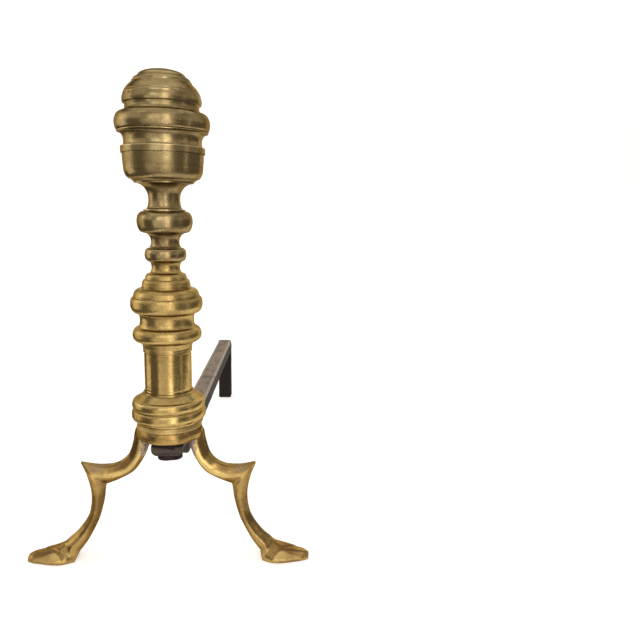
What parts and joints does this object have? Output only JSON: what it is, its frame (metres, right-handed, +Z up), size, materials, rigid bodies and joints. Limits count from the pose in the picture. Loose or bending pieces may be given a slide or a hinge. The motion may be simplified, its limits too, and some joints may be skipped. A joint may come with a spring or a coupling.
{
  "type": "andiron",
  "caption": "Fireplace andiron: ring-turned brass column with a stepped finial on spurred, slipper-footed legs, and a forged iron billet bar turned down into a rear leg.",
  "frame": {"origin": "middle of the bounding box, on the hearth", "axes": "+Z up, +Y back along the billet bar to the rear leg, +X to the right as seen from the room"},
  "size_m": [0.2508, 0.5512, 0.4225],
  "materials": {
    "brass": "polished, warm brown-gold patina",
    "dark_brass": "polished, darker olive-brown patina",
    "foot_brass": "polished and hand-worn, yellow at the toes",
    "forged_iron": "forged, hammer-marked, warm grey-brown scale",
    "rusted_iron": "dark purple-brown rust"
  },
  "bodies": {
    "root": {"leg_collar": "foot_brass", "right_leg": "foot_brass", "left_leg": "foot_brass", "base_seat": "brass", "base_moulding": "brass", "plinth_shaft": "brass", "waist_ring": "brass", "stepped_bell": "brass", "lower_knop": "dark_brass", "middle_spool": "dark_brass", "upper_knop": "dark_brass", "neck_spool": "dark_brass", "finial_bowl": "dark_brass", "finial_crown": "dark_brass", "finial_nut": "rusted_iron", "rod_nut": "rusted_iron", "tension_rod": "rusted_iron", "billet_bar": "forged_iron"}
  },
  "joints": []
}
